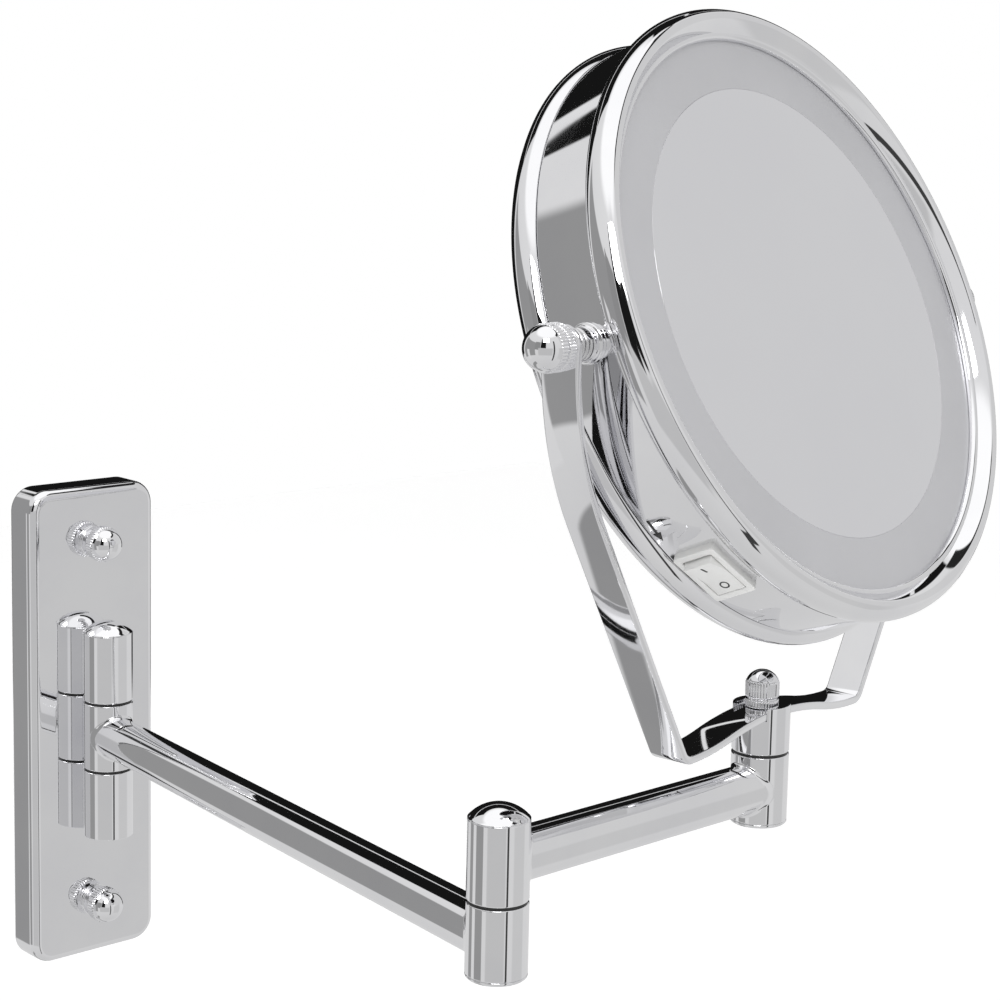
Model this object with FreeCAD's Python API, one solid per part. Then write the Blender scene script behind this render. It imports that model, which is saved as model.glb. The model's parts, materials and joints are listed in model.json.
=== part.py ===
import FreeCAD, Part
import math
import os

# Two-arm wall mirror with a lit, double-sided head. Millimetres, +Z up.
# Origin: centre of the wall plate's back face. The wall is the plane Y = 0 and the
# room is on the -Y side. Every moving group is drawn in a frame of its own and then
# placed at its rest pose.

Vec = FreeCAD.Vector

# ---- rest pose, degrees ----
arm_1_swing = -5.9        # from straight out of the wall, positive towards +X
arm_2_swing = 91.4
yoke_yaw = 9.0
head_tilt = 23.0          # face turned upwards
rocker_tilt = 8.0         # one end pressed in

# ---- wall plate ----
plate_width = 55.0
plate_height = 187.0
plate_depth = 14.5
plate_corner = 9.0
plate_edge = 3.6
plate_wall = 1.6
bracket_width = 38.0
bracket_height = 156.0
bracket_thickness = 2.0
screw_hole_spacing = 90.0
screw_hole_radius = 2.6
stud_height = 72.0        # studs above and below the plate's centre
stud_radius = 2.95

# ---- barrels and arms ----
barrel_radius = 9.5
pin_radius = 4.0
pin_clearance = 0.06
bush_radius = 5.6
washer_radius = 9.0
washer_thickness = 0.9
face_gap = 0.05           # between a washer and the knuckle that turns on it
wall_pitch = 26.8
elbow_pitch = 23.8
end_pitch = 24.2
tube_radius = 8.1
tube_bore = 6.9
arm_1_length = 257.8
arm_2_length = 117.8
plate_gap = 0.35          # between the turning knuckle and the plate
barrel_axis_y = -(plate_depth + barrel_radius + plate_gap)
arm_1_z = -2.1
arm_2_z = arm_1_z + elbow_pitch
dome_height = 4.2

# ---- yoke ----
strap_width = 13.0
strap_thickness = 2.6
strap_rise = 49.4         # middle of the strap above arm 1 at the swivel
eye_reach = 112.3         # middle of the strap at each pivot
pivot_rise = 177.6        # tilt axis above arm 1
swivel_radius = 3.0
knuckle_wall_rise = 52.0

# ---- head, in its own frame: x along the tilt axis, z out of the lit face ----
drum_radius = 99.5
drum_wall = 1.5
drum_front = 8.0
drum_back = -12.4
rim_radius = 101.75
glass_radius = 92.8
plain_radius = 75.05
glass_front = 12.0
glass_thickness = 3.0
lip_radius = 91.4
rear_radius = 102.0
rear_face = -23.0
stud_end = 120.6

# ---- switch on the drum's lower left ----
switch_clock = 136.5      # degrees round from the top, towards the left pivot
switch_z = -3.0
frame_length = 22.0
frame_width = 15.0
frame_top = 101.3
rocker_length = 16.4
rocker_width = 10.2
rocker_pivot = 99.4


def cylinder(radius, bottom, top, x=0.0, y=0.0):
    return Part.makeCylinder(radius, top - bottom, Vec(x, y, bottom))


def ring(outer, inner, bottom, top):
    return cylinder(outer, bottom, top).cut(cylinder(inner, bottom - 1, top + 1))


def box(x, y, z):
    """Box from three (low, high) pairs."""
    return Part.makeBox(x[1] - x[0], y[1] - y[0], z[1] - z[0], Vec(x[0], y[0], z[0]))


def turned(section):
    """Solid of revolution about Z. A section is (r, z) points, and a point held in
    a list is the middle of an arc."""
    edges = []
    start = section[0]
    middle = None
    for item in section[1:] + [section[0]]:
        if isinstance(item, list):
            middle = item[0]
            continue
        a = Vec(start[0], 0, start[1])
        b = Vec(item[0], 0, item[1])
        if middle is None:
            edges.append(Part.makeLine(a, b))
        else:
            edges.append(Part.Arc(a, Vec(middle[0], 0, middle[1]), b).toShape())
        start = item
        middle = None
    face = Part.Face(Part.Wire(edges))
    return face.revolve(Vec(0, 0, 0), Vec(0, 0, 1), 360)


def knurled(radius, depth, teeth, bottom, top):
    """Straight-knurled drum with a small chamfer at both ends."""
    points = []
    for i in range(teeth * 2):
        r = radius - (depth if i % 2 else 0.0)
        a = math.pi * i / teeth
        points.append(Vec(r * math.cos(a), r * math.sin(a), bottom))
    face = Part.Face(Part.makePolygon(points + points[:1]))
    drum = face.extrude(Vec(0, 0, top - bottom))
    lead = 2 * depth
    keep = turned([(0, bottom), (radius - lead, bottom), (radius, bottom + lead),
                   (radius, top - lead), (radius - lead, top), (0, top)])
    return drum.common(keep)


def dome(radius, bottom, height):
    """Spherical cap on a short cylindrical edge."""
    shoulder = 0.35
    r = radius - 0.15
    mid_r = r * 0.62
    rho = (r * r + height * height) / (2 * height)
    mid_z = bottom + height - rho + math.sqrt(rho * rho - mid_r * mid_r)
    return turned([(0, bottom - shoulder), (radius, bottom - shoulder), (radius, bottom - 0.1),
                   (r, bottom), [(mid_r, mid_z)], (0, bottom + height)])


def along_x(shape):
    """Turn a shape drawn along +Z so that it runs along +X."""
    return shape.rotated(Vec(0, 0, 0), Vec(0, 1, 0), 90)


def along_minus_y(shape):
    return shape.rotated(Vec(0, 0, 0), Vec(1, 0, 0), 90)


def both_sides(shape):
    """The shape and its mirror image across X = 0."""
    return Part.makeCompound([shape, shape.mirror(Vec(0, 0, 0), Vec(1, 0, 0))])


def direction(angle):
    """Unit vector of an arm that swings by angle from -Y towards +X."""
    a = math.radians(angle)
    return Vec(math.sin(a), -math.cos(a), 0)


wall_axis = Vec(0, barrel_axis_y, 0)
elbow_axis = wall_axis + direction(arm_1_swing) * arm_1_length
end_axis = elbow_axis + direction(arm_2_swing) * arm_2_length

level = FreeCAD.Placement()
on_wall_axis = FreeCAD.Placement(wall_axis, FreeCAD.Rotation())
arm_1_frame = FreeCAD.Placement(wall_axis, FreeCAD.Rotation(Vec(0, 0, 1), arm_1_swing))
arm_2_frame = FreeCAD.Placement(elbow_axis, FreeCAD.Rotation(Vec(0, 0, 1), arm_2_swing))
yoke_frame = FreeCAD.Placement(end_axis, FreeCAD.Rotation(Vec(0, 0, 1), yoke_yaw))
pivot_frame = FreeCAD.Placement(Vec(0, 0, arm_1_z + pivot_rise),
                                FreeCAD.Rotation(Vec(1, 0, 0), 90 - head_tilt))
head_frame = yoke_frame.multiply(pivot_frame)


def save(node, shape, frame=level):
    placed = shape.copy()
    placed.Placement = frame.multiply(placed.Placement)
    solids = placed.Solids
    if not solids or not placed.isValid():
        print("PROBLEM", node, len(solids), placed.isValid())
    if len(solids) == 1:
        placed = solids[0]
    placed.exportStep("parts/" + node + ".step")
    size = placed.BoundBox
    print("%-22s solids %2d  volume %9.1f  %6.1f %6.1f %6.1f" % (
        node, len(solids), sum(s.Volume for s in solids), size.XLength, size.YLength, size.ZLength))


# ---------------------------------------------------------------- wall group
def rounded_slab(width, height, corner, front, back):
    """Rounded rectangle in the XZ plane, from y = front to y = back."""
    slab = box((-width / 2, width / 2), (front, back), (-height / 2, height / 2))
    uprights = [e for e in slab.Edges if abs(e.BoundBox.YLength - (back - front)) < 1e-6]
    return slab.makeFillet(corner, uprights)


def stud_bores(radius, front, back):
    bores = []
    for z in (-stud_height, stud_height):
        bore = along_minus_y(cylinder(radius, -back, -front))
        bores.append(bore.translated(Vec(0, 0, z)))
    return Part.makeCompound(bores)


def knuckle_screw_heights():
    return (arm_1_z - wall_pitch, arm_1_z + wall_pitch)


def make_wall_plate():
    shell = rounded_slab(plate_width, plate_height, plate_corner, -plate_depth, 0)
    front = [e for e in shell.Edges
             if abs(e.BoundBox.YMin + plate_depth) < 1e-3 and e.BoundBox.YLength < 1e-3]
    shell = shell.makeFillet(plate_edge, front)
    hollow = rounded_slab(plate_width - 2 * plate_wall, plate_height - 2 * plate_wall,
                          plate_corner - plate_wall, -plate_depth + plate_wall, 1)
    inner = [e for e in hollow.Edges
             if abs(e.BoundBox.YMin + plate_depth - plate_wall) < 1e-3 and e.BoundBox.YLength < 1e-3]
    hollow = hollow.makeFillet(plate_edge - plate_wall, inner)
    plate = shell.cut(hollow).cut(stud_bores(stud_radius + 0.15, -plate_depth - 1, 0))
    for z in knuckle_screw_heights():
        plate = plate.cut(along_minus_y(cylinder(2.0, 0, plate_depth + 1)).translated(Vec(0, 0, z)))
    save("wall_plate", plate)


def make_bracket():
    plate = rounded_slab(bracket_width, bracket_height, 4.0, -bracket_thickness, 0)
    for z in (-screw_hole_spacing / 2, screw_hole_spacing / 2):
        hole = along_minus_y(cylinder(screw_hole_radius, -1, bracket_thickness + 1))
        plate = plate.cut(hole.translated(Vec(0, 0, z)))
    plate = plate.cut(stud_bores(stud_radius, -bracket_thickness - 1, 1))
    save("wall_bracket", plate)
    save("bracket_studs", stud_bores(stud_radius, -21.5, 0))
    hexagon = Part.makePolygon([Vec(5.5 * math.cos(math.radians(60 * i)),
                                    5.5 * math.sin(math.radians(60 * i)), 0) for i in range(7)])
    spacer = Part.Face(hexagon).extrude(Vec(0, 0, plate_depth - plate_wall - bracket_thickness))
    spacer = spacer.cut(cylinder(stud_radius, -1, plate_depth))
    spacer = along_minus_y(spacer).translated(Vec(0, -bracket_thickness, 0))
    save("stud_spacers", Part.makeCompound([spacer.translated(Vec(0, 0, z))
                                            for z in (-stud_height, stud_height)]))


def make_cap_nuts():
    flange = ring(6.4, stud_radius, 0, 1.2)
    neck = ring(4.3, stud_radius, 1.25, 4.2)
    grip = knurled(6.9, 0.35, 40, 4.2, 9.0)
    nut = neck.fuse([grip, dome(6.3, 9.2, 5.6)]).cut(cylinder(stud_radius, 0, 21.5 - plate_depth))
    nut = nut.removeSplitter()
    for node, piece in (("flange_washers", flange), ("cap_nuts", nut)):
        turned_out = along_minus_y(piece).translated(Vec(0, -plate_depth, 0))
        save(node, Part.makeCompound([turned_out.translated(Vec(0, 0, z))
                                      for z in (-stud_height, stud_height)]))


def make_wall_barrel():
    half = wall_pitch / 2
    low = arm_1_z - 1.5 * wall_pitch
    high = arm_1_z + 1.5 * wall_pitch
    gap = washer_thickness / 2
    plate_face = -plate_depth - barrel_axis_y
    screw_tip = -plate_depth - 4.2
    for node, bottom, top, z in (("knuckle_lower", low, arm_1_z - half - gap, low + half),
                                 ("knuckle_upper", arm_1_z + half + gap, high, high - half)):
        foot = box((-4.5, 4.5), (0, plate_face), (bottom, top))
        knuckle = cylinder(barrel_radius, bottom, top).fuse(foot).cut(cylinder(pin_radius, bottom - 1, top + 1))
        bore = along_minus_y(cylinder(2.0, barrel_axis_y + plate_depth, barrel_axis_y - screw_tip))
        knuckle = knuckle.cut(bore.translated(Vec(0, 0, z)))
        save(node, knuckle, on_wall_axis)
    save("hinge_pin", cylinder(pin_radius, low, high), on_wall_axis)
    save("barrel_cap", dome(barrel_radius, high + 0.35, dome_height), on_wall_axis)
    washers = [ring(washer_radius, pin_radius, z - gap, z + gap)
               for z in (arm_1_z - half, arm_1_z + half)]
    save("barrel_washers", Part.makeCompound(washers), on_wall_axis)
    screw = turned([(0, 0), (2.0, 0), (2.0, 5.8), (3.6, 5.8), (3.6, 8.0), (0, 8.0)])
    screw = screw.rotated(Vec(0, 0, 0), Vec(1, 0, 0), -90).translated(Vec(0, screw_tip, 0))
    save("barrel_screws", Part.makeCompound([screw.translated(Vec(0, 0, z))
                                             for z in knuckle_screw_heights()]))


# ---------------------------------------------------------------- arms
def arm_tube(length, z):
    """Straight tube along -Y with both ends coped to the barrels."""
    inset = 7.0
    tube = ring(tube_radius, tube_bore, inset, length - inset)
    tube = along_minus_y(tube)
    near = cylinder(barrel_radius, -30, 30)
    far = near.translated(Vec(0, -length, 0))
    return tube.cut(near).cut(far).translated(Vec(0, 0, z))


def make_arm_1():
    half = wall_pitch / 2 - washer_thickness / 2 - face_gap
    bottom, top = arm_1_z - half, arm_1_z + half
    save("knuckle_middle", ring(barrel_radius, bush_radius, bottom, top), arm_1_frame)
    save("wall_bush", ring(bush_radius, pin_radius + pin_clearance, bottom, top), arm_1_frame)
    save("arm_tube_1", arm_tube(arm_1_length, arm_1_z), arm_1_frame)
    bottom = arm_1_z - elbow_pitch / 2
    top = arm_1_z + elbow_pitch / 2 - washer_thickness / 2
    at_elbow = arm_1_frame.multiply(FreeCAD.Placement(Vec(0, -arm_1_length, 0), FreeCAD.Rotation()))
    save("elbow_lower", ring(barrel_radius, pin_radius, bottom + 1.2, top), at_elbow)
    plug = turned([(0, bottom), (barrel_radius - 0.6, bottom), (barrel_radius, bottom + 0.6),
                   (barrel_radius, bottom + 1.2), (0, bottom + 1.2)])
    save("elbow_plug", plug, at_elbow)
    pin_top = arm_2_z + elbow_pitch / 2 - 3.0
    save("elbow_pin", cylinder(pin_radius, bottom + 1.2, pin_top), at_elbow)
    save("elbow_washer", ring(washer_radius, pin_radius, top, top + washer_thickness - face_gap), at_elbow)


def make_arm_2():
    bottom = arm_2_z - elbow_pitch / 2 + washer_thickness / 2
    top = arm_2_z + elbow_pitch / 2 + 1.2
    bush_top = top - 1.6
    upper = cylinder(barrel_radius, bottom, top).cut(cylinder(bush_radius, bottom - 1, bush_top))
    save("elbow_upper", upper, arm_2_frame)
    save("elbow_bush", ring(bush_radius, pin_radius + pin_clearance, bottom, bush_top), arm_2_frame)
    save("elbow_cap", dome(barrel_radius, top + 0.35, dome_height), arm_2_frame)
    save("arm_tube_2", arm_tube(arm_2_length, arm_2_z), arm_2_frame)
    at_end = arm_2_frame.multiply(FreeCAD.Placement(Vec(0, -arm_2_length, 0), FreeCAD.Rotation()))
    bottom = arm_2_z - end_pitch / 2
    top = arm_2_z + end_pitch / 2 - washer_thickness / 2
    save("end_lower", ring(barrel_radius, swivel_radius, bottom + 1.2, top), at_end)
    plug = turned([(0, bottom), (barrel_radius - 0.6, bottom), (barrel_radius, bottom + 0.6),
                   (barrel_radius, bottom + 1.2), (0, bottom + 1.2)])
    save("end_plug", plug, at_end)
    save("swivel_stud", cylinder(swivel_radius, bottom + 1.2, arm_1_z + 58.5), at_end)
    save("end_washer", ring(washer_radius, swivel_radius, top, top + washer_thickness - face_gap), at_end)


# ---------------------------------------------------------------- yoke
diagonal = 30.4           # the strap's lean from upright below each pivot
hump_radius = 130.0
dip_radius = 100.0
hump_angle = 12.3
corner_radius = 5.0
shoulder_radius = 100.0


def strap_bends():
    """Half of the strap's middle line from the swivel outwards: ('arc', radius, turn)
    with left turns positive, or ('line', length)."""
    x = (hump_radius + dip_radius) * math.sin(math.radians(hump_angle))
    z = strap_rise - (hump_radius + dip_radius) * (1 - math.cos(math.radians(hump_angle)))
    lean = math.radians(diagonal)
    x += corner_radius * math.cos(lean)
    z += corner_radius * (1 - math.sin(lean))
    shoulder_x = eye_reach - shoulder_radius * (1 - math.cos(lean))
    run = (shoulder_x - x) / math.sin(lean)
    z += run * math.cos(lean) + shoulder_radius * math.sin(lean)
    rest = pivot_rise - z
    return [("arc", hump_radius, -hump_angle), ("arc", dip_radius, hump_angle),
            ("arc", corner_radius, 90 - diagonal), ("line", run),
            ("arc", shoulder_radius, diagonal), ("line", rest + strap_width / 2)]


def strap_side(offset):
    """Edges of one face of the strap, offset to the left of its middle line, and its
    two end points, in the XZ plane."""
    heading = 0.0
    x, z = 0.0, strap_rise
    edges = []
    start = Vec(x, 0, z + offset)
    here = start
    for bend in strap_bends():
        if bend[0] == "line":
            x += bend[1] * math.cos(heading)
            z += bend[1] * math.sin(heading)
            there = Vec(x - offset * math.sin(heading), 0, z + offset * math.cos(heading))
            edges.append(Part.makeLine(here, there))
        else:
            turn = math.radians(bend[2])
            side = 1 if turn > 0 else -1
            cx = x - side * bend[1] * math.sin(heading)
            cz = z + side * bend[1] * math.cos(heading)
            radius = bend[1] - side * offset
            points = [Vec(cx + side * radius * math.sin(heading + turn * k), 0,
                          cz - side * radius * math.cos(heading + turn * k)) for k in (0.5, 1.0)]
            edges.append(Part.Arc(here, points[0], points[1]).toShape())
            heading += turn
            x = cx + side * bend[1] * math.sin(heading)
            z = cz - side * bend[1] * math.cos(heading)
            there = points[1]
        here = there
    return edges, start, here


def make_strap():
    inner, inner_start, inner_end = strap_side(strap_thickness / 2)
    outer, outer_start, outer_end = strap_side(-strap_thickness / 2)
    outline = Part.Wire(Part.__sortEdges__(inner + outer + [Part.makeLine(inner_start, outer_start),
                                                            Part.makeLine(inner_end, outer_end)]))
    half = Part.Face(outline).extrude(Vec(0, strap_width, 0))
    half = half.translated(Vec(0, -strap_width / 2, 0))
    keep = box((-1, 150), (-20, 20), (0, pivot_rise))
    eye = along_x(cylinder(strap_width / 2, 0, 150)).translated(Vec(0, 0, pivot_rise))
    half = half.common(keep.fuse(eye))
    half = half.cut(along_x(cylinder(3.2, 60, 150)).translated(Vec(0, 0, pivot_rise)))
    strap = half.fuse(half.mirror(Vec(0, 0, 0), Vec(1, 0, 0))).removeSplitter()
    return strap.cut(cylinder(swivel_radius + 0.15, 0, 100))


def make_yoke():
    lift = Vec(0, 0, arm_1_z)
    strap = make_strap()
    save("yoke_strap", strap.translated(lift), yoke_frame)
    bottom = elbow_pitch + end_pitch / 2 + washer_thickness / 2
    knuckle = ring(barrel_radius, swivel_radius + pin_clearance, bottom, knuckle_wall_rise)
    floor_z = strap_rise - strap_thickness / 2
    floor_radius = hump_radius - strap_thickness / 2
    drop = floor_radius - math.sqrt(floor_radius ** 2 - 14.0 ** 2)
    floor = Part.Arc(Vec(-14, 0, floor_z - drop), Vec(0, 0, floor_z), Vec(14, 0, floor_z - drop)).toShape()
    sides = Part.makePolygon([Vec(14, 0, floor_z - drop), Vec(14, 0, 80), Vec(-14, 0, 80),
                              Vec(-14, 0, floor_z - drop)])
    slot = Part.Face(Part.Wire([floor] + sides.Edges)).extrude(Vec(0, strap_width, 0))
    knuckle = knuckle.cut(slot.translated(Vec(0, -strap_width / 2, 0)))
    save("end_upper", knuckle.translated(lift), yoke_frame)
    nut = knurled(7.2, 0.3, 48, 0, 3.6).cut(cylinder(3.12, -1, 5))
    nut = along_x(nut).translated(Vec(eye_reach + strap_thickness / 2, 0, arm_1_z + pivot_rise))
    save("ring_nuts", both_sides(nut), yoke_frame)


def make_base_nut():
    bottom = strap_rise + strap_thickness / 2 + 0.1
    band = knurled(5.5, 0.25, 36, bottom, bottom + 2.6)
    waist = cylinder(4.9, bottom + 2.5, bottom + 3.1)
    grip = knurled(5.6, 0.3, 36, bottom + 3.0, bottom + 9.0)
    nut = band.fuse([waist, grip, dome(5.2, bottom + 9.1, 3.2)]).cut(cylinder(swivel_radius + pin_clearance, 0, 58.6))
    save("base_nut", nut.removeSplitter().translated(Vec(0, 0, arm_1_z)), yoke_frame)


# ---------------------------------------------------------------- head
def at_switch(shape):
    """Place a shape drawn with x round the drum, y out of the drum and z along its axis."""
    return shape.translated(Vec(0, 0, switch_z)).rotated(Vec(0, 0, 0), Vec(0, 0, 1), switch_clock)


def switch_box(length, width, low, high):
    return at_switch(box((-length / 2, length / 2), (low, high), (-width / 2, width / 2)))


def make_head_shell():
    drum = ring(drum_radius, drum_radius - drum_wall, drum_back, drum_front)
    studs = along_x(cylinder(3.0, -150, 150))
    drum = drum.cut(studs).cut(switch_box(19.0, 12.0, 60, 120))
    save("drum", drum, head_frame)
    spigot = drum_radius - drum_wall
    rim = turned([(drum_radius, drum_front), (100.4, drum_front), [(rim_radius, 13.0)], (100.1, 16.8),
                  [(98.4, 18.1)], (96.2, 17.5), (lip_radius, 13.4), (lip_radius, glass_front),
                  (glass_radius, glass_front), (glass_radius, 9.0), (96.4, 9.0), (96.4, 4.0),
                  (spigot, 4.0), (spigot, drum_front)])
    save("front_rim", rim, head_frame)


def make_lit_face():
    back = glass_front - glass_thickness
    save("plain_mirror", cylinder(plain_radius, back, glass_front), head_frame)
    save("light_ring", ring(glass_radius, plain_radius, back, glass_front), head_frame)
    carrier = cylinder(96.4, 1.0, 2.6).fuse(ring(75.0, 73.4, 2.6, back))
    carrier = carrier.cut(switch_box(24.0, 40.0, 84, 120)).removeSplitter()
    save("front_carrier", carrier, head_frame)
    board = ring(90.0, 77.0, 2.6, 4.2).cut(switch_box(24.0, 40.0, 84, 120))
    save("led_board", board, head_frame)
    chip = box((-1.8, 1.8), (-1.4, 1.4), (4.2, 5.0)).translated(Vec(81.5, 0, 0))
    chips = [chip.rotated(Vec(0, 0, 0), Vec(0, 0, 1), 7.5 + 15 * i) for i in range(24)]
    save("led_chips", Part.makeCompound(chips), head_frame)


def make_power():
    tray_back = -2.0
    tray = cylinder(drum_radius - drum_wall, tray_back, tray_back + 1.6).cut(switch_box(24.0, 40.0, 84, 120))
    save("battery_tray", tray, head_frame)
    cell_radius, cell_length, cells = 5.25, 44.5, 4
    pitch = 11.4
    wide = cells * pitch / 2 + 1.2
    long = cell_length / 2 + 3.2
    holder = box((-wide, wide), (-long, long), (tray_back - 10.6, tray_back))
    hollow = box((-wide + 1.2, wide - 1.2), (-long + 1.2, long - 1.2), (-14, tray_back - 0.8))
    save("battery_holder", holder.cut(hollow), head_frame)
    cell = turned([(0, 0), (cell_radius - 0.4, 0), (cell_radius, 0.4), (cell_radius, cell_length - 1.6),
                   (cell_radius - 0.4, cell_length - 1.2), (1.9, cell_length - 1.2),
                   (1.9, cell_length), (0, cell_length)])
    laid = along_minus_y(cell).translated(Vec(0, cell_length / 2, tray_back - 0.9 - cell_radius))
    batteries = []
    contacts = []
    for i in range(cells):
        x = (i - (cells - 1) / 2) * pitch
        turned_end = laid if i % 2 else laid.rotated(Vec(0, 0, 0), Vec(0, 0, 1), 180)
        batteries.append(turned_end.translated(Vec(x, 0, 0)))
        for y in (-long + 1.2, long - 1.6):
            contacts.append(box((x - 4, x + 4), (y, y + 0.4), (tray_back - 9.8, tray_back - 1.6)))
    save("batteries", Part.makeCompound(batteries), head_frame)
    save("battery_contacts", Part.makeCompound(contacts), head_frame)


def make_rear():
    """Twist-off rear ring with the magnifying glass."""
    top = drum_back - 0.25
    spigot = drum_radius - drum_wall - 0.3
    rear = turned([(drum_radius, top), [(rear_radius, -17.6)], (100.3, -21.6), [(98.6, rear_face)],
                   (96.4, -22.4), (lip_radius, -18.6), (lip_radius, -17.4), (glass_radius, -17.4),
                   (glass_radius, -14.4), (96.4, -14.4), (96.4, -9.8), (spigot, -9.8), (spigot, top)])
    save("rear_ring", rear, head_frame)
    hollow = 1.6
    thickness = 2.0
    edge = -17.4
    rho = (glass_radius ** 2 + hollow ** 2) / (2 * hollow)
    half = glass_radius / 2
    mid = edge + hollow - rho + math.sqrt(rho ** 2 - half ** 2)
    glass = turned([(0, edge + hollow), [(half, mid)], (glass_radius, edge),
                    (glass_radius, edge + thickness), [(half, mid + thickness)],
                    (0, edge + hollow + thickness)])
    save("rear_mirror", glass, head_frame)


def make_pivots():
    stud = along_x(cylinder(3.0, drum_radius - drum_wall, stud_end))
    save("pivot_studs", both_sides(stud), head_frame)
    seat = cylinder(drum_radius, -20, 20)
    bush = turned([(3.0, 96), (6.2, 96), (6.2, 101.2), (5.2, 101.6), (5.2, 103.6), (3.0, 103.6)])
    save("pivot_bushes", both_sides(along_x(bush).cut(seat)), head_frame)
    spring_start, spring_end = 103.7, eye_reach - strap_thickness / 2 - 0.15
    wire = 0.75
    turns = 3
    height = spring_end - spring_start - 2 * wire
    path = Part.makeHelix(height / turns, height, 4.4)
    section = Part.Wire(Part.makeCircle(wire, Vec(4.4, 0, 0), Vec(0, 1, 0)))
    spring = Part.Wire(path.Edges).makePipeShell([section], True, True)
    spring = along_x(spring.translated(Vec(0, 0, spring_start + wire)))
    save("pivot_springs", both_sides(spring), head_frame)
    start = eye_reach + strap_thickness / 2 + 3.9
    grip = knurled(7.2, 0.35, 42, start, start + 3.4)
    knob = grip.fuse(dome(6.8, start + 3.6, 5.2)).cut(cylinder(3.06, 0, stud_end + 0.3)).removeSplitter()
    knob = along_x(knob)
    save("side_knob_right", knob, head_frame)
    save("side_knob_left", knob.mirror(Vec(0, 0, 0), Vec(1, 0, 0)), head_frame)


def make_switch():
    inside = cylinder(drum_radius, -50, 50)
    frame = switch_box(frame_length, frame_width, 98.0, frame_top).cut(inside)
    collar = switch_box(19.0, 12.0, 96.6, drum_radius + 0.5)
    opening = switch_box(rocker_length + 1.0, rocker_width + 0.5, 60, 120)
    pin = at_switch(cylinder(0.8, -5.7, 5.7, 0, rocker_pivot))
    frame = frame.fuse(collar).cut(opening).cut(pin).removeSplitter()
    save("switch_frame", frame, head_frame)
    save("switch_body", switch_box(19.0, 12.0, 88.0, 96.5), head_frame)
    save("rocker_pin", pin, head_frame)
    reach = rocker_length / 2
    ends = 3.1
    corners = [Vec(-reach, -0.4, 0), Vec(-reach, ends, 0), Vec(0, ends - 1.0, 0), Vec(reach, ends, 0),
               Vec(reach, -0.4, 0), Vec(3.2, -2.4, 0), Vec(-3.2, -2.4, 0)]
    face = Part.Face(Part.makePolygon(corners + corners[:1]))
    rocker = face.extrude(Vec(0, 0, rocker_width)).translated(Vec(0, 0, -rocker_width / 2))
    rocker = rocker.cut(cylinder(0.86, -20, 20))
    rocker = rocker.rotated(Vec(0, 0, 0), Vec(0, 0, 1), rocker_tilt)
    save("rocker", at_switch(rocker.translated(Vec(0, rocker_pivot, 0))), head_frame)


os.makedirs("parts", exist_ok=True)
make_wall_plate()
make_bracket()
make_cap_nuts()
make_wall_barrel()
make_arm_1()
make_arm_2()
make_yoke()
make_base_nut()
make_head_shell()
make_lit_face()
make_power()
make_rear()
make_pivots()
make_switch()
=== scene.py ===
import json
import math

import bmesh
import bpy
from mathutils import Matrix, Vector


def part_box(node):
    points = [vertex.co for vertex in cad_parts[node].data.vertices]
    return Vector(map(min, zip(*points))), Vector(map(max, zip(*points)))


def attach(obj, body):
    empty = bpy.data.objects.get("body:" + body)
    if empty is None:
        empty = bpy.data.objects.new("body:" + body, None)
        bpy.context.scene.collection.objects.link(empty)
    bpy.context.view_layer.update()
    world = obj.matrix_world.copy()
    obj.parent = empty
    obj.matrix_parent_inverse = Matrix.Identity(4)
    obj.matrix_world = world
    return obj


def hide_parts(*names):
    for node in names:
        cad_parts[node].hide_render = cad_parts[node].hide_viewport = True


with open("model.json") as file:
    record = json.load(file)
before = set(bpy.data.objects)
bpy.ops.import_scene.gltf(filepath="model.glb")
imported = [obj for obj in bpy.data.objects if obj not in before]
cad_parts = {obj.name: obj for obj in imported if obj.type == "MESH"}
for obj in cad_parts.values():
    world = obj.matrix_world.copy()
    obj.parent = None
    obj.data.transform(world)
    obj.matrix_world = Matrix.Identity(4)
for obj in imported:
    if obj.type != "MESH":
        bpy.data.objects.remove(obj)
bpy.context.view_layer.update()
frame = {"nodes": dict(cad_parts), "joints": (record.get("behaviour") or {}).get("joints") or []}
joints = {joint["name"]: joint for joint in frame["joints"]}

# ------------------------------------------------------------------ wall plate
# A pressed brass shell, chromed and polished, open at the back. Its rim stands on the
# wall and its face carries the barrel and two cap nuts.
mm = 0.001


class Flow:
    """A node socket that does arithmetic: each operator adds a Math node."""

    def __init__(self, tree, socket):
        self.tree = tree
        self.socket = socket

    def maths(self, operation, *values):
        return self.tree.node("ShaderNodeMath", dict(enumerate(values)), operation=operation)

    def __add__(self, other):
        return self.maths("ADD", self, other)

    def __sub__(self, other):
        return self.maths("SUBTRACT", self, other)

    def __rsub__(self, other):
        return self.maths("SUBTRACT", other, self)

    def __mul__(self, other):
        return self.maths("MULTIPLY", self, other)

    def __truediv__(self, other):
        return self.maths("DIVIDE", self, other)

    __radd__ = __add__
    __rmul__ = __mul__

    def ramp(self, low, high):
        """0 below low, 1 above high, smooth between."""
        return self.tree.node("ShaderNodeMapRange", {"Value": self, "From Min": low, "From Max": high},
                              interpolation_type="SMOOTHSTEP")


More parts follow.
